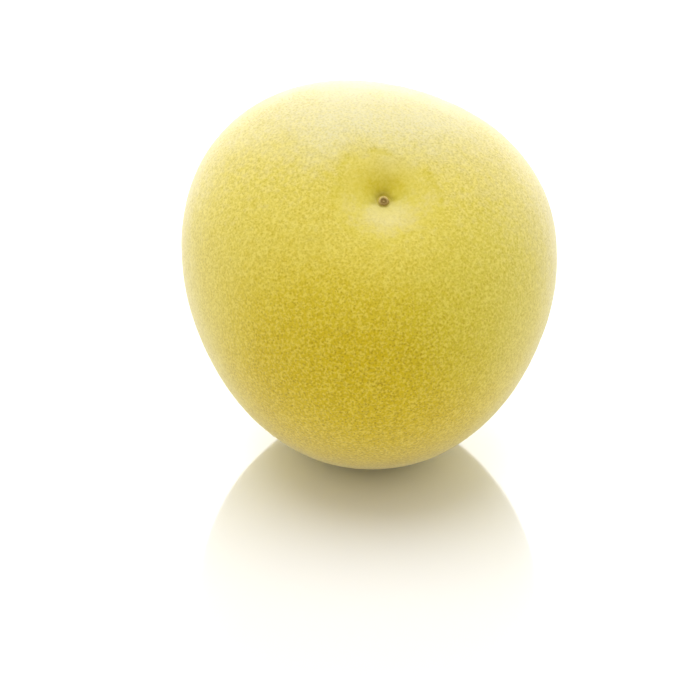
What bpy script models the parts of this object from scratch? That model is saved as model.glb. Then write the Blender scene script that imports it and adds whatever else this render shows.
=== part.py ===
"""Pomelo: a whole fruit lying on its side, as three solids.

The fruit is turned about its own axis, the line from the stem end (-Z in its own frame) to the blossom end (+Z).
A few low lobes make it uneven, the rind is pressed flat where it rests, and then the axis is tilted.
Units are metres, +Z is up, and the origin is on the table under the middle of the fruit.
"""

import math

import bmesh
import bpy
from mathutils import Matrix, Vector

MM = 0.001

# The fruit's size and how it lies.
MEAN_RADIUS = 75 * MM
AXIS_RISE = math.radians(48.7)  # how far the blossom end points above the horizontal
AXIS_TURN = math.radians(6.7)  # how far it is turned towards +X from -Y
FLAT_SPOT_DEPTH = 1.8 * MM  # how much of the rind is pressed flat on the table

# The turned outline: the radius over the mean radius, in powers of the height along the axis.
# The cubic and quartic terms flatten the blossom end, whose shoulders stay broad.
OUTLINE = (1.0, 0.029, 0.007, -0.122, -0.059)
NECK_RISE = 4.5 * MM  # the low neck at the stem end
NECK_WIDTH = math.radians(20)

# The funnel round the style scar, steep in the middle and fading out over the flat end.
FUNNEL_DEPTH = 6.6 * MM
FUNNEL_RADIUS = 8.2 * MM

# The shallow dip round the stem button.
BUTTON_DIP_DEPTH = 1.6 * MM
BUTTON_DIP_RADIUS = 7.0 * MM

# Lobes round the axis: how many, how high over the radius, and where the first one points.
LOBES = (
    (1, 0.019, math.radians(-137)),
    (2, 0.028, math.radians(-69)),
    (3, 0.034, math.radians(20)),
    (4, 0.005, math.radians(26)),
)

# The two small woody pieces, each in a round recess.
CLEARANCE = 0.3 * MM
SCAR_RADIUS = 2.1 * MM
SCAR_RECESS_DEPTH = 0.9 * MM
BUTTON_RADIUS = 3.7 * MM
BUTTON_RECESS_DEPTH = 1.2 * MM

# How finely the solids are faceted.
FRUIT_SEGMENTS = 66
FRUIT_RINGS = 62
END_FINENESS = 0.6  # 0 spaces the rings evenly, towards 1 crowds them at both ends
SCAR_SEGMENTS = 28
BUTTON_SEGMENTS = 40
SHARP_EDGE = math.radians(50)
CLOSEST_RING = 0.3  # no ring nearer to a recess's rim than this share of a ring's spacing there
REFINEMENTS = 5
SAME_POINT = 0.001 * MM


def clear_scene():
    for old in list(bpy.data.objects):
        bpy.data.objects.remove(old, do_unlink=True)


def make_material(name, colour, roughness):
    material = bpy.data.materials.new(name)
    material.use_nodes = True
    shader = material.node_tree.nodes["Principled BSDF"]
    shader.inputs["Base Color"].default_value = (*colour, 1.0)
    shader.inputs["Roughness"].default_value = roughness
    shader.inputs["Metallic"].default_value = 0.0
    material.diffuse_color = (*colour, 1.0)
    return material


def turned_radius(angle):
    """Distance from the fruit's middle to its rind, at an angle from the blossom end."""
    height = math.cos(angle)
    radius = MEAN_RADIUS * sum(factor * height**power for power, factor in enumerate(OUTLINE))
    radius += NECK_RISE * math.exp(-(((math.pi - angle) / NECK_WIDTH) ** 2))
    out = radius * math.sin(angle)
    if height > 0:
        radius -= FUNNEL_DEPTH / (1 + (out / FUNNEL_RADIUS) ** 2)
    else:
        radius -= BUTTON_DIP_DEPTH * math.exp(-((out / BUTTON_DIP_RADIUS) ** 2))
    return radius


def on_outline(angle):
    radius = turned_radius(angle)
    return radius * math.sin(angle), radius * math.cos(angle)


def rim_angle(out, near_blossom):
    """The angle from the blossom end at which the rind is that far out from the axis."""
    angle = 0.0 if near_blossom else math.pi
    for _ in range(REFINEMENTS):
        reach = math.asin(out / turned_radius(angle))
        angle = reach if near_blossom else math.pi - reach
    return angle


def ring_angle(share):
    """Angles from 0 to pi, closer together near both ends."""
    return math.pi * (share - END_FINENESS * math.sin(math.tau * share) / math.tau)


def recess_points(piece_radius, depth, near_blossom):
    """The recess's rim, wall foot and centre, from the rind inwards."""
    rim_out = piece_radius + CLEARANCE
    rim = on_outline(rim_angle(rim_out, near_blossom))
    floor = rim[1] - depth if near_blossom else rim[1] + depth
    return [rim, (rim_out, floor), (0.0, floor)]


def fruit_outline():
    """Half the fruit's section, from the blossom end's recess down to the stem end's."""
    blossom = recess_points(SCAR_RADIUS, SCAR_RECESS_DEPTH, True)
    stem = recess_points(BUTTON_RADIUS, BUTTON_RECESS_DEPTH, False)
    first = rim_angle(SCAR_RADIUS + CLEARANCE, True)
    last = rim_angle(BUTTON_RADIUS + CLEARANCE, False)
    angles = [ring_angle(step / FRUIT_RINGS) for step in range(1, FRUIT_RINGS)]
    margin = CLOSEST_RING * ring_angle(1 / FRUIT_RINGS)
    rind = [on_outline(angle) for angle in angles if first + margin < angle < last - margin]
    return blossom[::-1] + rind + stem


def spin_solid(outline, segments):
    """Turns a half section, whose ends lie on the axis, into a closed mesh."""
    mesh = bmesh.new()
    points = [mesh.verts.new((out, 0.0, height)) for out, height in outline]
    for upper, lower in zip(points, points[1:]):
        mesh.edges.new((upper, lower))
    bmesh.ops.spin(
        mesh,
        geom=mesh.verts[:] + mesh.edges[:],
        cent=(0, 0, 0),
        axis=(0, 0, 1),
        angle=math.tau,
        steps=segments,
        use_merge=True,
    )
    bmesh.ops.remove_doubles(mesh, verts=mesh.verts, dist=SAME_POINT)
    bmesh.ops.recalc_face_normals(mesh, faces=mesh.faces)
    return mesh


def grow_lobes(mesh):
    """Moves every point in or out along its own direction, more towards the fruit's waist."""
    for vert in mesh.verts:
        sideways = math.hypot(vert.co.x, vert.co.y) / vert.co.length
        around = math.atan2(vert.co.y, vert.co.x)
        swell = 1.0
        for count, rise, start in LOBES:
            swell += rise * sideways**count * math.cos(count * (around - start))
        vert.co *= swell


def press_flat(mesh, down):
    """Presses the lowest part of the rind onto a plane, as its own weight does."""
    table = max(vert.co.dot(down) for vert in mesh.verts) - FLAT_SPOT_DEPTH
    for vert in mesh.verts:
        below = vert.co.dot(down) - table
        if below > 0:
            vert.co -= below * down
    return table


def add_piece(name, mesh, material, parent):
    data = bpy.data.meshes.new(name)
    mesh.to_mesh(data)
    mesh.free()
    data.materials.append(material)
    data.shade_smooth()
    data.set_sharp_from_angle(angle=SHARP_EDGE)
    piece = bpy.data.objects.new(name, data)
    bpy.context.scene.collection.objects.link(piece)
    piece.parent = parent
    return piece


def scar_outline():
    """A corky cup with a raised rim and the style's stub in the middle, base first."""
    floor = recess_points(SCAR_RADIUS, SCAR_RECESS_DEPTH, True)[-1][1]
    base = floor + CLEARANCE
    section = (
        (0.0, 0.0),
        (1.8, 0.0),
        (2.1, 0.3),
        (2.1, 0.9),
        (1.95, 1.3),
        (1.65, 1.45),
        (1.35, 1.35),
        (1.1, 0.95),
        (0.75, 0.75),
        (0.5, 0.85),
        (0.3, 1.15),
        (0.0, 1.25),
    )
    return [(out * MM, base + rise * MM) for out, rise in section][::-1]


def button_outline():
    """A woody disc with a raised rim, a hollow and a pit where the sap vessels ended, base first."""
    floor = recess_points(BUTTON_RADIUS, BUTTON_RECESS_DEPTH, False)[-1][1]
    base = floor - CLEARANCE
    section = (
        (0.0, 0.0),
        (3.3, 0.0),
        (3.7, 0.4),
        (3.7, 1.0),
        (3.5, 1.6),
        (3.1, 1.9),
        (2.7, 1.8),
        (2.2, 1.3),
        (1.5, 1.05),
        (0.9, 1.0),
        (0.55, 0.7),
        (0.0, 0.6),
    )
    return [(out * MM, base - rise * MM) for out, rise in section]


def build():
    clear_scene()
    rind = make_material("rind", (0.80, 0.67, 0.15), 0.42)
    cork = make_material("cork", (0.30, 0.20, 0.10), 0.85)
    wood = make_material("wood", (0.34, 0.22, 0.11), 0.85)

    tilt = Matrix.Rotation(AXIS_TURN, 4, "Z") @ Matrix.Rotation(math.pi / 2 - AXIS_RISE, 4, "X")
    down = tilt.to_3x3().inverted() @ Vector((0, 0, -1))
    axis = bpy.data.objects.new("pomelo_axis", None)
    bpy.context.scene.collection.objects.link(axis)

    body = spin_solid(fruit_outline(), FRUIT_SEGMENTS)
    grow_lobes(body)
    middle_height = press_flat(body, down)
    across = [tilt @ vert.co for vert in body.verts]
    middle_x = (min(point.x for point in across) + max(point.x for point in across)) / 2
    middle_y = (min(point.y for point in across) + max(point.y for point in across)) / 2
    axis.matrix_world = Matrix.Translation((-middle_x, -middle_y, middle_height)) @ tilt
    add_piece("fruit", body, rind, axis)

    scar = spin_solid(scar_outline(), SCAR_SEGMENTS)
    grow_lobes(scar)
    add_piece("style_scar", scar, cork, axis)

    button = spin_solid(button_outline(), BUTTON_SEGMENTS)
    grow_lobes(button)
    add_piece("stem_button", button, wood, axis)


build()
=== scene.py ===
# %% [markdown]
# # A pomelo on a white table
#
# This lesson gives a whole pomelo, the largest of the citrus fruits, its looks. The solids of the fruit are
# already packed as a frame: the fruit itself, a small scar at its blossom end and a woody button at its
# stem end. The frame says where everything is and how big it is. The lesson adds what the eye sees: an
# uneven skin, oil glands, a waxy shine, a corky scar and soft studio light.

# %% Load the frame
import math

import bmesh
import bpy
import numpy as np
from mathutils import Matrix, Vector, noise


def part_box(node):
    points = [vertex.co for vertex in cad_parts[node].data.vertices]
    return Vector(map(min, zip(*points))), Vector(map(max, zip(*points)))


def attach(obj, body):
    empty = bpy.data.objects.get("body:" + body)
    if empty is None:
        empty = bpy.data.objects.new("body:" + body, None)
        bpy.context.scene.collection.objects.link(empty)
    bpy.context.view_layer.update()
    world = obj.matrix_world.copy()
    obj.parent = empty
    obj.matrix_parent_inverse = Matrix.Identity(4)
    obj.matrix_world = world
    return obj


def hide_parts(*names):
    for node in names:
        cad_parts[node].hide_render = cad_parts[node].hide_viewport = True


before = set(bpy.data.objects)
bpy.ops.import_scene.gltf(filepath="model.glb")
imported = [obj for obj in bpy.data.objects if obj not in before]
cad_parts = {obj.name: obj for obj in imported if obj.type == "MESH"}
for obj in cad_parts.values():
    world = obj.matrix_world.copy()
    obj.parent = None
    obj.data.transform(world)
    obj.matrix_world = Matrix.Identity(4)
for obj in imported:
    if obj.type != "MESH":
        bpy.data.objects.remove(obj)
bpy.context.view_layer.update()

MM = 0.001

# %% [markdown]
# ## Where things are
#
# Everything on a pomelo is arranged round its own axis, from the stem end to the blossom end. The frame
# gives no axis, but the scar and the button sit at its two ends, so the line between them is the axis. It
# could be typed in as two angles, but then it would be wrong as soon as the fruit is turned. Three numbers
# describe any point of the rind: how far along the axis it is, how far out from it, and its angle round it.
# They make it easy to say "in a ring round the scar", wherever the fruit points.

# %% Find the fruit's axis
def box_middle(node):
    low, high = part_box(node)
    return (low + high) / 2


fruit_middle = box_middle("fruit")
button_middle = box_middle("stem_button")
axis = (box_middle("style_scar") - button_middle).normalized()
side = Vector((0, 0, 1)).cross(axis).normalized()
upward = axis.cross(side)
print("the blossom end points", round(math.degrees(math.asin(axis.z))), "degrees above level")

# %% Measure along the axis and round it
def read_points(mesh):
    values = np.empty(len(mesh.vertices) * 3)
    mesh.vertices.foreach_get("co", values)
    return values.reshape(-1, 3)


def round_axis(points):
    """Splits points into distance along the axis, distance out from it and angle round it."""
    seen = (points - np.array(button_middle)) @ np.array((side, upward, axis)).T
    return seen[:, 2], np.hypot(seen[:, 0], seen[:, 1]), np.arctan2(seen[:, 1], seen[:, 0])


def reach_along(node):
    """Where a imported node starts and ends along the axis."""
    along = round_axis(read_points(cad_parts[node].data))[0]
    return float(along.min()), float(along.max())


scar_start, scar_end = reach_along("style_scar")
button_end, button_start = reach_along("stem_button")
half_way = (scar_start + button_start) / 2
print("the scar stands", round((scar_end - scar_start) / MM, 2), "mm high")
print("the button stands", round((button_start - button_end) / MM, 2), "mm high")

# %% [markdown]
# ## The camera
#
# The camera comes first, because every later step is judged through it. A short lens close by would make
# the near side of the fruit swell, so this is a long lens, well back, that keeps its round outline true.
# The camera looks down on the fruit at an easy angle, and the fruit stands a little above and beside the
# middle of the view, which leaves room for its reflection in the table.

# %% Place the camera
LENS = 100  # mm
SENSOR_WIDTH = 36  # mm
CAMERA_RISE = math.radians(26)
CAMERA_DISTANCE = 0.763
FRUIT_RIGHT = 7.4 * MM  # how far the fruit's middle stands to the right of the view's middle
FRUIT_ABOVE = 29.3 * MM


def place_camera():
    look = Vector((0, math.cos(CAMERA_RISE), -math.sin(CAMERA_RISE)))
    right = Vector((1, 0, 0))
    up = right.cross(look)
    data = bpy.data.cameras.new("camera")
    data.lens = LENS
    data.sensor_width = SENSOR_WIDTH
    camera = bpy.data.objects.new("camera", data)
    camera.location = fruit_middle - CAMERA_DISTANCE * look - FRUIT_RIGHT * right - FRUIT_ABOVE * up
    camera.rotation_euler = (math.pi / 2 - CAMERA_RISE, 0, 0)
    bpy.context.scene.collection.objects.link(camera)
    bpy.context.scene.camera = camera


place_camera()
print("the camera stands at", [round(value, 3) for value in bpy.context.scene.camera.location])

# %% [markdown]
# ## Writing materials as sums
#
# A material's nodes can be wired one by one, but a page of links is hard to read. The first small class
# wraps one socket, so that `1 - mask` or `speckle * 0.3 + tone` adds the Math nodes by itself. Numbers go
# through Math nodes; colours and vectors have methods of their own, because a Math node would turn a colour
# grey. The second class holds a node tree, and its one method `node` makes every other kind of node. The
# third is a material.

# %% A socket that can be added and multiplied
class Wire:
    """An output socket in a node tree, to be used in sums."""

    def __init__(self, nodes, socket):
        self.nodes = nodes
        self.socket = socket

    def math(self, operation, first, second):
        """Adds one Math node, with sockets or plain numbers for its two values."""
        return self.nodes.node("ShaderNodeMath", {"operation": operation}, {0: first, 1: second})

    def __add__(self, other):
        return self.math("ADD", self, other)

    def __mul__(self, other):
        return self.math("MULTIPLY", self, other)

    def __sub__(self, other):
        return self.math("SUBTRACT", self, other)

    def __rsub__(self, other):
        return self.math("SUBTRACT", other, self)

    __radd__ = __add__
    __rmul__ = __mul__

    def smooth(self, low, high):
        """0 below low, 1 above high, and a soft slope between."""
        sockets = {"Value": self, "From Min": low, "From Max": high}
        return self.nodes.node("ShaderNodeMapRange", {"interpolation_type": "SMOOTHSTEP"}, sockets)

    def limited(self):
        """Kept between 0 and 1."""
        return self.nodes.node("ShaderNodeClamp", {}, {"Value": self})


# %% A node tree with one way to make a node
class Nodes:
    """A node tree being built, for a material or for the light all round."""

    def __init__(self, tree):
        self.tree = tree

    def node(self, kind, settings=None, sockets=None, output=0):
        made = self.tree.nodes.new(kind)
        for name, value in (settings or {}).items():
            if name == "stops":
                self.set_stops(made.color_ramp, value)
            else:
                setattr(made, name, value)
        for name, value in (sockets or {}).items():
            self.feed(made.inputs[name], value)
        return Wire(self, made.outputs[output])

    def feed(self, socket, value):
        if isinstance(value, Wire):
            self.tree.links.new(value.socket, socket)
        else:
            socket.default_value = value

    def set_stops(self, ramp, stops):
        while len(ramp.elements) < len(stops):
            ramp.elements.new(0.5)
        for element, (position, colour) in zip(ramp.elements, stops):
            element.position = position
            element.color = colour

    def vector(self, operation, sockets, output=0):
        return self.node("ShaderNodeVectorMath", {"operation": operation}, sockets, output)

    def mixed(self, factor, first, second):
        """A mix of two colours. The Mix node has them at sockets 6 and 7, and the result at 2."""
        sockets = {0: factor, 6: first, 7: second}
        return self.node("ShaderNodeMix", {"data_type": "RGBA"}, sockets, output=2)


# %% A material with the patterns that grown things need
class Finish(Nodes):
    """A material being made: its shader, and the place of the point being shaded."""

    def __init__(self, name):
        self.material = bpy.data.materials.new(name)
        self.material.use_nodes = True
        super().__init__(self.material.node_tree)
        self.place = self.node("ShaderNodeTexCoord", output="Object")

    def noise(self, size, detail=2.0, place=None):
        """Soft noise from 0 to 1, whose features are about that size in metres."""
        sockets = {"Vector": place or self.place, "Scale": 1 / size, "Detail": detail}
        return self.node("ShaderNodeTexNoise", {}, sockets)

    def drift(self, size, strength, detail=2.0):
        """Noise about 0, that lets a tone or an edge wander by up to half the strength."""
        return (self.noise(size, detail) - 0.5) * strength

    def cells(self, size, randomness, place):
        """Distance to the nearest of many scattered points, in cell sizes."""
        sockets = {"Vector": place, "Scale": 1 / size, "Randomness": randomness}
        return self.node("ShaderNodeTexVoronoi", {}, sockets)

    def kept(self, name):
        """A number that is kept on the piece's own points."""
        return self.node("ShaderNodeAttribute", {"attribute_name": name}, output="Fac")

    def shifted(self, size, reach):
        """The place, pushed about by a colour noise, so that an even pattern wanders."""
        sockets = {"Vector": self.place, "Scale": 1 / size}
        wobble = self.node("ShaderNodeTexNoise", {}, sockets, output="Color")
        centred = self.vector("SUBTRACT", {0: wobble, 1: (0.5, 0.5, 0.5)})
        scaled = self.vector("SCALE", {0: centred, "Scale": reach})
        return self.vector("ADD", {0: self.place, 1: scaled})

    def along(self, direction, start):
        """How far the place lies from the start, in metres, in that direction."""
        away = self.vector("SUBTRACT", {0: self.place, 1: start})
        return self.vector("DOT_PRODUCT", {0: away, 1: direction.normalized()}, output=1)

    def bumped(self, height, depth):
        """A normal from a height between 0 and 1, where 1 stands out by that depth in metres."""
        return self.node("ShaderNodeBump", {}, {"Height": height, "Distance": depth, "Strength": 1.0})

    def finish(self, **sockets):
        """Feeds the shader's sockets, which are named with _ for a space, and hands the material over."""
        shader = self.tree.nodes["Principled BSDF"]
        for name, value in sockets.items():
            self.feed(shader.inputs[name.replace("_", " ")], value)
        print(self.material.name, "has", len(self.tree.nodes), "nodes")
        return self.material


# %% [markdown]
# ## The skin's form
#
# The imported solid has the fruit's form in flat facets. A copy of it can carry the fine skin: its loose
# triangles are merged and paired back into four-sided faces, and the Subdivision Surface modifier then
# rounds them. Four-sided faces matter, because triangles leave faint stars in the shine. A new sphere could
# be pushed onto the solid instead, but the copy keeps the solid's form without any fitting.

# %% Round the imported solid
WELD = 0.01 * MM
SUBDIVISIONS = 2
FLATTEST_JOIN = math.radians(40)  # two triangles pair up if they bend less than this
SKEWEST_JOIN = math.radians(60)  # and if the corners of the pair are nearer to square than this


def rounded(mesh, name):
    """Rounds a bmesh with the Subdivision Surface modifier and gives it back as a plain mesh."""
    base = bpy.data.meshes.new(name + "_base")
    mesh.to_mesh(base)
    mesh.free()
    holder = bpy.data.objects.new(name + "_base", base)
    bpy.context.scene.collection.objects.link(holder)
    rounding = holder.modifiers.new("rounding", "SUBSURF")
    rounding.levels = SUBDIVISIONS
    rounding.render_levels = SUBDIVISIONS
    shown = holder.evaluated_get(bpy.context.evaluated_depsgraph_get())
    fine = bpy.data.meshes.new_from_object(shown)
    bpy.data.objects.remove(holder)
    bpy.data.meshes.remove(base)
    return fine


def rounded_copy(node):
    mesh = bmesh.new()
    mesh.from_mesh(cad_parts[node].data)
    bmesh.ops.remove_doubles(mesh, verts=mesh.verts, dist=WELD)
    bmesh.ops.join_triangles(
        mesh,
        faces=mesh.faces,
        angle_face_threshold=FLATTEST_JOIN,
        angle_shape_threshold=SKEWEST_JOIN,
    )
    corners = [len(face.verts) for face in mesh.faces]
    print(node, "has", corners.count(4), "four-sided faces and", corners.count(3), "triangles")
    return rounded(mesh, node)


skin_mesh = rounded_copy("fruit")
print("the fine skin has", len(skin_mesh.polygons), "faces")

# %% [markdown]
# ## The skin's relief
#
# A pomelo isn't a smooth ball. Its rind swells and sinks a little everywhere, an irregular crease runs
# round the flat blossom end, and small folds gather where the rind turns in to the scar and to the stem.
# These have a real shape, so they are moved in the mesh, along each point's normal. A bump map could fake
# them, but not in the outline, and the mesh on its own would lose them. The solid also has a recess for the
# scar with a narrow gap round it. Real rind grows right up to its scar, so the floor of the recess is
# raised to meet it.

# %% Helpers for relief
def wander(points, size, seed=0.0):
    """Smooth random numbers from about -1 to 1, one for each point, with features of that size."""
    return np.array([noise.noise(Vector(point) / size + Vector((seed, seed, seed))) for point in points])


def step_up(values, low, high):
    """0 below low, 1 above high, and a soft slope between."""
    share = np.clip((values - low) / (high - low), 0, 1)
    return share * share * (3 - 2 * share)


def fading(distance, reach, power=2):
    """1 where the distance is 0, and next to nothing at twice the reach."""
    return np.exp(-((distance / reach) ** power))


def waves(around, parts):
    """Waves round the axis. Each part says how many, how strong and where they start."""
    return sum(strength * np.cos(count * around + start) for count, strength, start in parts)


print("at twice its reach a fading is down to", round(float(fading(2.0, 1.0)), 3))

# %% Shape the blossom end and the stem end
CREASE_OUT = 19 * MM
CREASE_WAVES = ((3, 0.06, 0.4), (5, 0.04, 2.0))
CREASE_WANDER = 1.2 * MM
CREASE_WANDER_SIZE = 7 * MM
CREASE_GAP_SIZE = 11 * MM
CREASE_WIDTH = 1.6 * MM
CREASE_DEPTH = 0.28 * MM
AREOLE_DROP = 0.15 * MM  # the areole is the flat ground inside the crease
FOLD_WAVES = ((5, 1.0, 1.0), (3, 0.6, 2.2), (9, 0.4, 0.0))
FOLD_DEPTH = 0.20 * MM
FOLD_REACH = 7 * MM
STEM_FOLD_WAVES = ((7, 1.0, 0.5), (4, 0.7, 1.9))
STEM_FOLD_DEPTH = 0.35 * MM
STEM_FOLD_REACH = 14 * MM
SCAR_EDGE = (2.2 * MM, 4 * MM)  # between these distances out the folds begin
BUTTON_EDGE = (4.5 * MM, 7 * MM)


def find_crease(points, out, around):
    """Masks of the crease, which fades in places and is deepest above the scar, and of the areole."""
    ring = CREASE_OUT * (1 + waves(around, CREASE_WAVES))
    ring += CREASE_WANDER * wander(points, CREASE_WANDER_SIZE, 5.0)
    crease = fading(out - ring, CREASE_WIDTH) * (0.78 + 0.22 * np.sin(around))
    crease *= step_up(wander(points, CREASE_GAP_SIZE, 3.0), -0.6, 0.15)
    areole = 1 - step_up(out / ring, 0.8, 1.02)
    return crease, areole


def gather_folds(out, around, at_blossom):
    """How deep the folds are at each end. They stop short of the scar and of the button."""
    blossom_folds = FOLD_DEPTH * waves(around, FOLD_WAVES) * fading(out, FOLD_REACH)
    blossom_folds *= step_up(out, *SCAR_EDGE)
    stem_folds = STEM_FOLD_DEPTH * waves(around, STEM_FOLD_WAVES) * fading(out, STEM_FOLD_REACH)
    stem_folds *= step_up(out, *BUTTON_EDGE)
    return np.where(at_blossom, blossom_folds, stem_folds)


print("the crease runs about", round(CREASE_OUT / MM), "mm out from the scar's middle")

# %% Move the skin's points
SWELL = 0.22 * MM
SWELL_SIZE = 24 * MM
RIPPLE = 0.06 * MM
RIPPLE_SIZE = 6 * MM
RECESS_RADIUS = 3 * MM
RECESS_FILL = 0.5 * MM
TABLE_NEAR = 0.2 * MM  # below this the skin rests on the table and has no relief
TABLE_CLEAR = 4 * MM  # above this it has all of it


def relieve(mesh):
    """Moves the mesh's points, and gives back what the colours need: where each point is, and two masks."""
    points = read_points(mesh)
    normals = np.empty(points.size)
    mesh.vertex_normals.foreach_get("vector", normals)
    along, out, around = round_axis(points)
    at_blossom = along > half_way
    crease, areole = (mask * at_blossom for mask in find_crease(points, out, around))

    height = SWELL * wander(points, SWELL_SIZE) + RIPPLE * wander(points, RIPPLE_SIZE, 7.0)
    height -= CREASE_DEPTH * crease + AREOLE_DROP * areole + gather_folds(out, around, at_blossom)
    in_recess = at_blossom & (out < RECESS_RADIUS)
    filling = np.maximum(scar_start + RECESS_FILL - along, 0) * in_recess
    points += filling[:, None] * np.array(axis)
    off_table = step_up(points[:, 2], TABLE_NEAR, TABLE_CLEAR)
    points += normals.reshape(-1, 3) * (height * off_table)[:, None]
    points[:, 2] = np.maximum(points[:, 2], 0)
    mesh.vertices.foreach_set("co", points.ravel())
    mesh.update()
    print("the relief runs from", round(height.min() / MM, 2), "to", round(height.max() / MM, 2), "mm")
    return out, around, at_blossom, crease, areole


out, around, at_blossom, crease, areole = relieve(skin_mesh)

# %% [markdown]
# ## Masks for the rind's colours
#
# The rind changes colour where its form changes: it is greener at both ends. The rest of these masks paint
# light and shade into the colour: painted shade on the upper wall of the dimple, a painted highlight on the
# lower one, and a brownish painted shade close to the scar, most of all above it. Nodes could find these
# places from distances, but the angle round a tilted axis takes many of them. Here the numbers are already
# worked out, so each is kept on the mesh's points, where the material finds it by name.

# %% Keep the masks on the skin's points
BLOSSOM_REACH = 9 * MM
WALL_SHADE_REACH = 13 * MM
SCAR_SHADE_REACH = 4 * MM
STEM_REACH = 16 * MM


def keep_on_points(mesh, name, values):
    layer = mesh.attributes.new(name, "FLOAT", "POINT")
    layer.data.foreach_set("value", values.astype(np.float32))


skin_masks = {
    "areole": areole,
    "crease": crease,
    "blossom": fading(out, BLOSSOM_REACH) * at_blossom,
    "wall": fading(out, WALL_SHADE_REACH) * np.sin(around) * at_blossom,
    # painted shade round the scar, strongest above it
    "halo": fading(out, SCAR_SHADE_REACH, power=4) * (0.5 + 0.5 * np.sin(around)) * at_blossom,
    "stem": fading(out, STEM_REACH) * ~at_blossom,
}
for mask_name, mask in skin_masks.items():
    keep_on_points(skin_mesh, mask_name, mask)
print("kept on the skin:", ", ".join(skin_masks))

# %% [markdown]
# ## The rind's glands
#
# A pomelo's rind is full of oil glands, about 1.2 mm apart. Each lies in a shallow pit that is a little
# darker than the rind round it, smaller ones fill the gaps, and between them the rind stands up in a pale
# network. The glands could be dots painted on a grid, but a fruit has no grid, so the large ones are the
# cells of a Voronoi pattern, cut by the surface where it meets them, and the small ones and the network are
# fine noises. All three read the same shifted place, so that they wander together. They are fainter on the
# flat blossom end, most of all by the scar.

# %% Find the glands
GLAND_SPACING = 1.2 * MM
GLAND_SCATTER = 0.9  # 1 scatters them freely, 0 sets them in a grid
SMALL_GLAND_SIZE = 0.7 * MM
NETWORK_SIZE = 1.15 * MM
SHIFT_SIZE = 5 * MM
SHIFT_REACH = 1 * MM
TONE_SIZE = 14 * MM  # areas of about this size differ a little in how far the glands' colour shows
FAINTER_ON_AREOLE = 0.45
FAINTER_BY_SCAR = 0.35


def find_glands(rind):
    """Masks of the pits, of the pits as far as their colour shows, and of the network between them."""
    place = rind.shifted(SHIFT_SIZE, SHIFT_REACH)
    plain = 1 - (rind.kept("areole") * FAINTER_ON_AREOLE + rind.kept("blossom") * FAINTER_BY_SCAR)
    large = 1 - rind.cells(GLAND_SPACING, GLAND_SCATTER, place).smooth(0.12, 0.5)
    small = rind.noise(SMALL_GLAND_SIZE, detail=0, place=place).smooth(0.48, 0.68)
    pits = (large * 0.65 + small * 0.5).limited() * plain
    shown = pits * (rind.noise(TONE_SIZE) * 0.5 + 0.7)
    network = rind.noise(NETWORK_SIZE, detail=1, place=place).smooth(0.40, 0.65) * plain
    return pits, shown, network


print("the large glands lie about", round(GLAND_SPACING / MM, 1), "mm apart")

# %% [markdown]
# ## The rind's colours
#
# The rind ripens from a pale yellow to a deep one, and some of it stays green at both ends. Some of its
# colour is painted light: the deep yellow low on the front, and half as much low on the far side, is partly
# ripeness and partly painted shade; a broad greener, darker patch on one cheek is partly green tone and
# partly painted shade; and the pale top is a painted highlight. One colour with a noise over it would look
# like paint, so each of these is a mask of its own. Those on the sides and the top are placed by a direction
# from the fruit's middle, those at the ends by the kept masks, and broad noise makes the edges of the deep
# front and of the pale top wander. Ripeness and painted shade are one number, the sum of their causes, and a
# ramp turns it into colour.

# %% Choose the colours and where they lie
FRUIT_RADIUS = 75 * MM  # about half its width
SHADED_LOWER_FRONT = Vector((-0.12, -0.96, -0.28))  # the lower front, whose deeper yellow is partly ripeness and partly painted shade
SHADED_FAR_SIDE = Vector((-0.15, 0.90, -0.40))  # low on the far side, deeper in colour half as much: partly ripeness, partly painted shade
GREEN_SHADED_CHEEK = Vector((0.56, -0.77, 0.30))  # a broad patch on the right cheek, greener and darker: partly green tone, partly painted shade
CROWN = Vector((0.03, -0.10, 0.98))  # the top, where the painted highlight is strongest
RIPENESS_AND_SHADE_TONES = (  # from the palest rind to the deepest; the deep end also serves as painted shade
    (0.00, (0.717, 0.608, 0.227, 1)),
    (0.35, (0.699, 0.571, 0.068, 1)),
    (0.70, (0.662, 0.508, 0.018, 1)),
    (1.00, (0.626, 0.453, 0.000, 1)),
)
# painted highlight: a pale cream laid over the top of the fruit
TOP_HIGHLIGHT = (0.80, 0.78, 0.60, 1)
GREEN_RIND = (0.567, 0.501, 0.019, 1)
# painted shade: a brownish darkening of the rind round the scar, strongest above it
SCAR_SHADE_TINT = (0.34, 0.25, 0.015, 1)
# painted shade: the crease's groove darkened in colour
CREASE_SHADE = (0.62, 0.50, 0.01, 1)
NETWORK_TINTS = ((0.96, 0.85, 0.30, 1), (0.96, 0.82, 0.17, 1))  # away from the shaded lower front, and towards it, where they are deeper as painted shade
GLAND_TINTS = ((0.40, 0.32, 0.00, 1), (0.416, 0.275, 0.00, 1))  # likewise
TOP_HIGHLIGHT_SHARE = 0.52  # how far each tint hides the colour under it, at most
SCAR_SHADE_SHARE = 0.8
NETWORK_SHARE = 0.29
CREASE_SHADE_SHARE = 0.55


def facing(rind, direction):
    """0 level with the fruit's middle, and about 1 where the rind lies farthest out in that direction."""
    return rind.along(direction, fruit_middle) * (1 / FRUIT_RADIUS)


print("the rind ripens through", len(RIPENESS_AND_SHADE_TONES), "tones")

# %% Ripen the rind and paint shade into it
SHADE_EDGE_DRIFT = {"size": 38 * MM, "strength": 0.2}  # the deep, shaded lower front has no straight edge
PATCHES = {"size": 7 * MM, "strength": 0.2, "detail": 1}
MOTTLES = {"size": 2.4 * MM, "strength": 0.5, "detail": 3}


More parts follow.
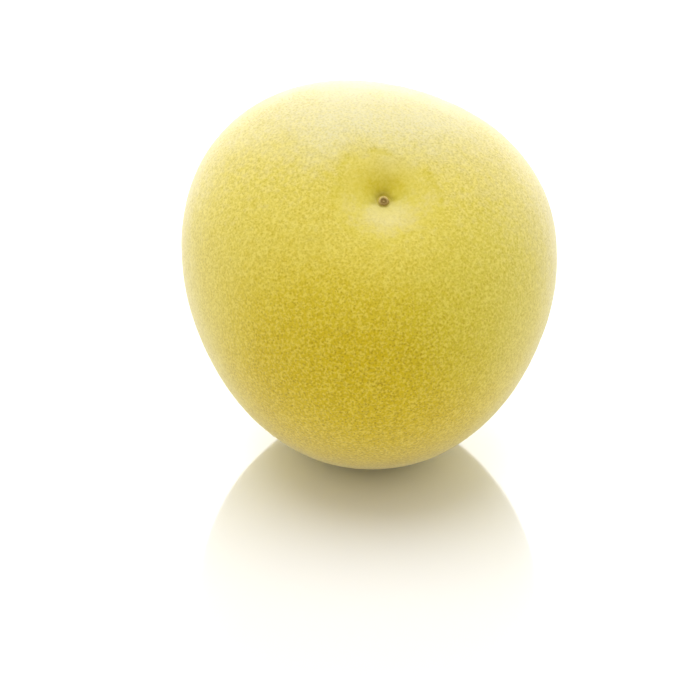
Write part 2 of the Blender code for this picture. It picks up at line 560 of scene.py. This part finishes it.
def ripen_and_shade(rind):
    """How far each point is turned to the shaded lower front, how deep its colour is there, partly ripeness
    and partly painted shade, and ripeness and painted shade in all.
    """
    # Partly ripeness, partly painted shade: the colour deepens low on the front and, half as much, low on
    # the far side.
    toward_shaded_front = facing(rind, SHADED_LOWER_FRONT) + rind.drift(**SHADE_EDGE_DRIFT)
    deep_and_shaded = toward_shaded_front.smooth(0.50, 1.08)
    ripeness_and_shade = toward_shaded_front.smooth(-0.6, 0.1) * 0.15 + toward_shaded_front.smooth(-0.1, 0.55) * 0.27 + deep_and_shaded * 0.72
    ripeness_and_shade = ripeness_and_shade + facing(rind, SHADED_FAR_SIDE).smooth(0.1, 1.0) * 0.5
    # painted shade on the dimple's upper wall, and a painted highlight on its lower wall, where the mask is
    # below 0
    ripeness_and_shade = ripeness_and_shade + rind.kept("wall") * 0.7
    ripeness_and_shade = ripeness_and_shade + rind.drift(**PATCHES) + rind.drift(**MOTTLES)
    return toward_shaded_front, deep_and_shaded, ripeness_and_shade


print("the mottles of ripeness are about", round(MOTTLES["size"] / MM, 1), "mm across")

# %% Lay the colours over each other
TOP_HIGHLIGHT_DRIFT = {"size": 26 * MM, "strength": 0.36}  # it makes the edge of the painted highlight on top cloudy


def colour_rind(rind, shown, network, toward_shaded_front, deep_and_shaded, ripeness_and_shade):
    # painted highlight on the top, which also softens the glands there
    top_highlight = (facing(rind, CROWN) + rind.drift(**TOP_HIGHLIGHT_DRIFT)).smooth(0.71, 1.08)
    shaded_cheek = facing(rind, GREEN_SHADED_CHEEK).smooth(0.76, 1.02)
    green_and_cheek_shade = (shaded_cheek * 0.45 + rind.kept("blossom") * 0.5 + rind.kept("stem") * 0.8).limited()
    shaded_front_share = toward_shaded_front.smooth(-0.3, 0.7)
    colour = rind.node("ShaderNodeValToRGB", {"stops": RIPENESS_AND_SHADE_TONES}, {"Fac": ripeness_and_shade})
    colour = rind.mixed(top_highlight * TOP_HIGHLIGHT_SHARE, colour, TOP_HIGHLIGHT)
    # the cheek's share of this green is partly painted shade
    colour = rind.mixed(green_and_cheek_shade, colour, GREEN_RIND)
    colour = rind.mixed(rind.kept("halo") * SCAR_SHADE_SHARE, colour, SCAR_SHADE_TINT)
    raised = rind.mixed(shaded_front_share, *NETWORK_TINTS)
    colour = rind.mixed(network * (1 - top_highlight * 0.3) * NETWORK_SHARE, colour, raised)
    sunken = rind.mixed(shaded_front_share, *GLAND_TINTS)
    colour = rind.mixed(shown * (deep_and_shaded * 0.45 + 0.45) * (1 - top_highlight * 0.6), colour, sunken)
    # painted shade along the crease
    return rind.mixed(rind.kept("crease") * CREASE_SHADE_SHARE, colour, CREASE_SHADE)


print("the bloom hides up to", round(TOP_HIGHLIGHT_SHARE * 100), "percent of the colour under it")

# %% [markdown]
# ## The rind's shine
#
# The skin itself is almost dull. Its shine is a thin coat of wax over it, weaker in the pits and gone on the
# deep lower front, where the colour is deepest and holds painted shade, and a soft sheen pales the edge all
# round, as fine dust on wax does. A single glossy surface could be used instead, but it gives hard
# highlights like plastic. The pits are also pressed in with a bump, because at less than a tenth of a
# millimetre they are too fine for the mesh.

# %% Make the rind
GLAND_PIT = 0.07 * MM
GRAIN_SIZE = 0.7 * MM
DULLNESS_SIZE = 5 * MM
WAX = 0.7
WAX_LOST_IN_PITS = 0.8


def make_rind():
    rind = Finish("rind")
    pits, shown, network = find_glands(rind)
    toward_shaded_front, deep_and_shaded, ripeness_and_shade = ripen_and_shade(rind)
    height = (1 - pits) * 0.8 + rind.noise(GRAIN_SIZE) * 0.2
    return rind.finish(
        Base_Color=colour_rind(rind, shown, network, toward_shaded_front, deep_and_shaded, ripeness_and_shade),
        Roughness=rind.noise(DULLNESS_SIZE) * 0.12 + shown * 0.08 + 0.40,
        Normal=rind.bumped(height, GLAND_PIT),
        Specular_IOR_Level=0.05,
        IOR=1.45,
        Coat_Weight=(1 - shown * WAX_LOST_IN_PITS) * (1 - deep_and_shaded) * WAX,
        Coat_Roughness=0.6,
        Coat_IOR=1.45,
        Sheen_Weight=0.42,
        Sheen_Roughness=0.5,
    )


rind_material = make_rind()

# %% Put the skin in the scene
def add_piece(name, mesh, node, material):
    """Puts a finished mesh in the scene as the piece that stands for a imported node."""
    mesh.name = name
    mesh.materials.clear()
    mesh.materials.append(material)
    mesh.shade_smooth()
    piece = bpy.data.objects.new(name, mesh)
    bpy.context.scene.collection.objects.link(piece)
    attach(piece, "root")
    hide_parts(node)
    print(name, "has", len(mesh.polygons), "faces")


add_piece("rind_skin", skin_mesh, "fruit", rind_material)

# %% [markdown]
# ## Round pieces from a section
#
# A small woody or corky piece grows at each end of the fruit. Both are round, so each is drawn as a
# section, a line from its base over its rim to its middle, and spun about an axis. It is then worked over:
# its outline is pushed in and out in lobes, its middle leans, and noise cracks it. Each could be cut from a
# disc with bevels, but a section gives every ring its place with a few numbers.

# %% Spin a section about an upright axis
SPIN_STEPS = 48


def spin_section(name, section):
    """Spins (distance out, height) points, in millimetres from the base up, and rounds the result."""
    mesh = bmesh.new()
    points = [mesh.verts.new((out * MM, 0, rise * MM)) for out, rise in section]
    edges = [mesh.edges.new(pair) for pair in zip(points, points[1:])]
    bmesh.ops.spin(
        mesh,
        geom=points + edges,
        cent=(0, 0, 0),
        axis=(0, 0, 1),
        angle=2 * math.pi,
        steps=SPIN_STEPS,
        use_merge=True,
    )
    bmesh.ops.remove_doubles(mesh, verts=mesh.verts, dist=WELD)
    bmesh.ops.recalc_face_normals(mesh, faces=mesh.faces)
    print(name, "is spun from", len(section), "points")
    return rounded(mesh, name)


print("a full turn takes", SPIN_STEPS, "steps")

# %% Roughen a spun piece and stand it on the fruit's axis
LOBE_DEPTH = 0.03  # as a share of the distance out
LIT_ANGLE = math.radians(100)  # the side of a rim that gets a painted highlight: its upper side, where light falls from above


def roughen(mesh, lobes, cracks, crack_size, ridges, lean, seed):
    """Pushes the outline in and out in lobes, leans the middle aside, cuts ridges and cracks the surface."""
    points = read_points(mesh)
    out = np.hypot(points[:, 0], points[:, 1])
    around = np.arctan2(points[:, 1], points[:, 0])
    reach = out.max()
    share = out / reach
    wave = waves(around, ((lobes, 1.0, seed), (lobes - 2, 0.7, 2 * seed)))
    points[:, :2] *= (1 + LOBE_DEPTH * wave * share)[:, None]
    points[:, 1] += lean * (1 - share) ** 2
    rough = wander(points, crack_size, seed) + 0.5 * wander(points, crack_size / 2, seed + 1)
    lines = np.cos(ridges * around + 2.5 * wander(points, reach / 2, seed + 2))
    band = step_up(share, 0.2, 0.4) * (1 - step_up(share, 0.85, 1.0))
    upper = step_up(points[:, 2], 0.3 * MM, 0.7 * MM)
    points[:, 2] += cracks * (rough + 0.5 * lines * band) * upper
    mesh.vertices.foreach_set("co", points.ravel())
    mesh.update()
    keep_on_points(mesh, "share", share)
    # painted light: highest on the rim's upper side, lowest below, where the cork is left dark as painted
    # shade
    keep_on_points(mesh, "pale_side", 0.5 + 0.5 * np.cos(around - LIT_ANGLE) + 0.25 * rough)


def stand_on_axis(mesh, start, direction):
    """Moves a mesh from its own upright axis to the fruit's, with its base at the start."""
    turned = Matrix((side, direction * upward, direction * axis)).transposed().to_4x4()
    mesh.transform(Matrix.Translation(button_middle + start * axis) @ turned)


print("a rim is palest", round(math.degrees(LIT_ANGLE)), "degrees round it")

# %% [markdown]
# ## The style's scar
#
# At the blossom end stays the scar of the style: a corky cup about 4 mm across, with a turned-over rim and
# the style's dry stub in the middle. The rim is pale on its upper side, a painted highlight where light from
# above falls, and stays dark on its lower side as painted shade; it is also dark in its cracks, and at the
# foot the cork takes on the rind's colour, more on the upper side. These tones could be painted by height,
# but the cup is lower in its middle than at its rim, so they follow the share of the way out, which
# `roughen` has kept on the points.

# %% Make the style's scar
SCAR_SECTION = (
    (0, 0.05), (1.9, 0.1), (2.1, 0.45), (2.02, 0.7), (1.92, 0.95), (1.76, 1.14), (1.56, 1.2), (1.38, 1.1),
    (1.22, 0.88), (1.02, 0.66), (0.8, 0.54), (0.58, 0.52), (0.38, 0.66), (0.22, 0.78), (0, 0.82),
)
CORK = (0.30, 0.195, 0.05, 1)
CORK_PALE = (0.74, 0.57, 0.20, 1)
CORK_FOOT = (0.66, 0.55, 0.10, 1)
CORK_DARK = (0.22, 0.14, 0.05, 1)
CORK_GRAIN_SIZE = 0.5 * MM
CORK_GRAIN_DEPTH = 0.05 * MM

scar_mesh = spin_section("style_scar_cork", SCAR_SECTION)
roughen(scar_mesh, lobes=5, cracks=0.07 * MM, crack_size=0.5 * MM, ridges=13, lean=-0.15 * MM, seed=0.6)
stand_on_axis(scar_mesh, scar_start, 1)


def make_cork():
    cork = Finish("cork")
    share = cork.kept("share")
    pale_side = cork.kept("pale_side")
    # painted highlight on the rim's upper side; below, the cork stays dark as painted shade, and the foot
    # takes the rind's colour more on the upper side
    rim = share.smooth(0.50, 0.64) * pale_side.smooth(0.05, 0.9)
    stub = 1 - share.smooth(0.11, 0.19)
    foot = share.smooth(0.88, 0.97) * (pale_side * 0.5 + 0.5)
    tone = cork.noise(CORK_GRAIN_SIZE, detail=3)
    colour = cork.mixed((rim + stub * 0.4).limited(), CORK, CORK_PALE)
    colour = cork.mixed(foot, colour, CORK_FOOT)
    colour = cork.mixed(tone.smooth(0.45, 0.7) * 0.4, colour, CORK_DARK)
    return cork.finish(
        Base_Color=colour,
        Roughness=tone * 0.2 + 0.7,
        Normal=cork.bumped(tone, CORK_GRAIN_DEPTH),
        Specular_IOR_Level=0.15,
    )


add_piece("style_scar_cork", scar_mesh, "style_scar", make_cork())

# %% [markdown]
# ## The stem button
#
# At the stem end the fruit broke from its stalk and left a woody button about 8 mm across: a raised rim of
# wood, a hollow with ridges round it, and a pit where the sap came in. It is made as the scar is, with its
# own section, deeper cracks and more ridges, and it stands on the axis the other way up.

# %% Make the stem button
BUTTON_SECTION = (
    (0, 0.05), (3.4, 0.1), (4.15, 0.5), (4.05, 0.92), (3.78, 1.2), (3.55, 1.6), (3.2, 1.85), (2.85, 1.82),
    (2.3, 1.4), (1.6, 1.12), (1.0, 1.05), (0.62, 0.76), (0.3, 0.62), (0, 0.6),
)
WOOD = (0.34, 0.19, 0.11, 1)
WOOD_RIM = (0.50, 0.38, 0.22, 1)
WOOD_PIT = (0.06, 0.035, 0.02, 1)
WOOD_FOOT = (0.36, 0.33, 0.06, 1)
WOOD_DARK = (0.17, 0.10, 0.05, 1)
WOOD_GRAIN_SIZE = 0.8 * MM
WOOD_GRAIN_DEPTH = 0.08 * MM

button_mesh = spin_section("stem_button_wood", BUTTON_SECTION)
roughen(button_mesh, lobes=5, cracks=0.13 * MM, crack_size=0.9 * MM, ridges=17, lean=0.3 * MM, seed=2.3)
stand_on_axis(button_mesh, button_start, -1)


def make_wood():
    wood = Finish("wood")
    share = wood.kept("share")
    tone = wood.noise(WOOD_GRAIN_SIZE, detail=4)
    colour = wood.mixed(share.smooth(0.58, 0.74), WOOD, WOOD_RIM)
    colour = wood.mixed(1 - share.smooth(0.12, 0.24), colour, WOOD_PIT)
    colour = wood.mixed(share.smooth(0.88, 0.97), colour, WOOD_FOOT)
    colour = wood.mixed(tone.smooth(0.45, 0.72) * 0.55, colour, WOOD_DARK)
    return wood.finish(
        Base_Color=colour,
        Roughness=tone * 0.2 + 0.65,
        Normal=wood.bumped(tone, WOOD_GRAIN_DEPTH),
        Specular_IOR_Level=0.4,
    )


add_piece("stem_button_wood", button_mesh, "stem_button", make_wood())

# %% [markdown]
# ## The table
#
# The fruit lies on a white table that is glossy enough to mirror it softly. A paper backdrop could sweep up
# behind the fruit, but a wide flat floor under a white surround looks just as endless, and its far edge is
# out of sight.

# %% Lay the table
TABLE_SIZE = 12.0
TABLE_WHITE = (0.97, 0.97, 0.97, 1)


def make_table():
    mesh = bmesh.new()
    bmesh.ops.create_grid(mesh, x_segments=1, y_segments=1, size=TABLE_SIZE / 2)
    data = bpy.data.meshes.new("floor")
    mesh.to_mesh(data)
    mesh.free()
    data.materials.append(Finish("table_top").finish(Base_Color=TABLE_WHITE, Roughness=0.07, IOR=1.7))
    floor = bpy.data.objects.new("floor", data)
    bpy.context.scene.collection.objects.link(floor)


make_table()
print("the table is", TABLE_SIZE, "m wide")

# %% [markdown]
# ## The light
#
# A very soft sun from above models the dimple, and a white surround lights the rest, a little more from
# behind than from in front. The pale edge of a waxy fruit is a reflection of something bright behind it, so
# reflections meet a surround of their own: a backdrop, several times as bright, behind the fruit and a
# little way up. A strong lamp behind would give the same edge, but it would burn out the fruit's far side.
# Where nothing is in the way, the camera sees plain white.

# %% Hang the sun and wrap the surround
SUN_FROM = Vector((-0.10, 0.12, 1.0))
SUN_STRENGTH = 1.35
SUN_ANGLE = math.radians(55)
LIGHT_SIDE = Vector((0, 1.0, 0.25)).normalized()  # the light grows brighter this way: backwards, a little up
LIGHT = {"before": 0.61, "behind": 0.88, "start": -0.5, "end": 0.6}
BACKDROP_SIDE = Vector((0, 0.9, 0.44)).normalized()  # the backdrop's middle stands higher
BACKDROP = {"before": 1.0, "behind": 4.6, "start": -0.3, "end": 1.0}


def hang_sun():
    data = bpy.data.lights.new("soft_sun", "SUN")
    data.energy = SUN_STRENGTH
    data.angle = SUN_ANGLE
    sun = bpy.data.objects.new("soft_sun", data)
    sun.rotation_euler = (-SUN_FROM).to_track_quat("-Z", "Y").to_euler()
    bpy.context.scene.collection.objects.link(sun)


def wrap_surround():
    """Lights the fruit, shows its reflections a bright backdrop, and is plain white to the camera."""
    world = bpy.data.worlds.new("surround")
    world.use_nodes = True
    nodes = Nodes(world.node_tree)
    direction = nodes.node("ShaderNodeTexCoord", output="Generated")

    def graded(bright_side, before, behind, start, end):
        lean = nodes.vector("DOT_PRODUCT", {0: direction, 1: bright_side}, output=1)
        return lean.smooth(start, end) * (behind - before) + before

    def seen_by(ray, strength, otherwise):
        is_ray = nodes.node("ShaderNodeLightPath", output=ray)
        return (strength - otherwise) * is_ray + otherwise

    light = graded(LIGHT_SIDE, **LIGHT)
    strength = seen_by("Is Glossy Ray", graded(BACKDROP_SIDE, **BACKDROP), light)
    strength = seen_by("Is Camera Ray", 1.0, strength)
    background = nodes.tree.nodes["Background"]
    nodes.feed(background.inputs["Color"], (1, 1, 1, 1))
    nodes.feed(background.inputs["Strength"], strength)
    bpy.context.scene.world = world


hang_sun()
wrap_surround()
bpy.context.scene.view_settings.view_transform = "Standard"
print("lit by a sun", round(math.degrees(SUN_ANGLE)), "degrees wide and by the surround")
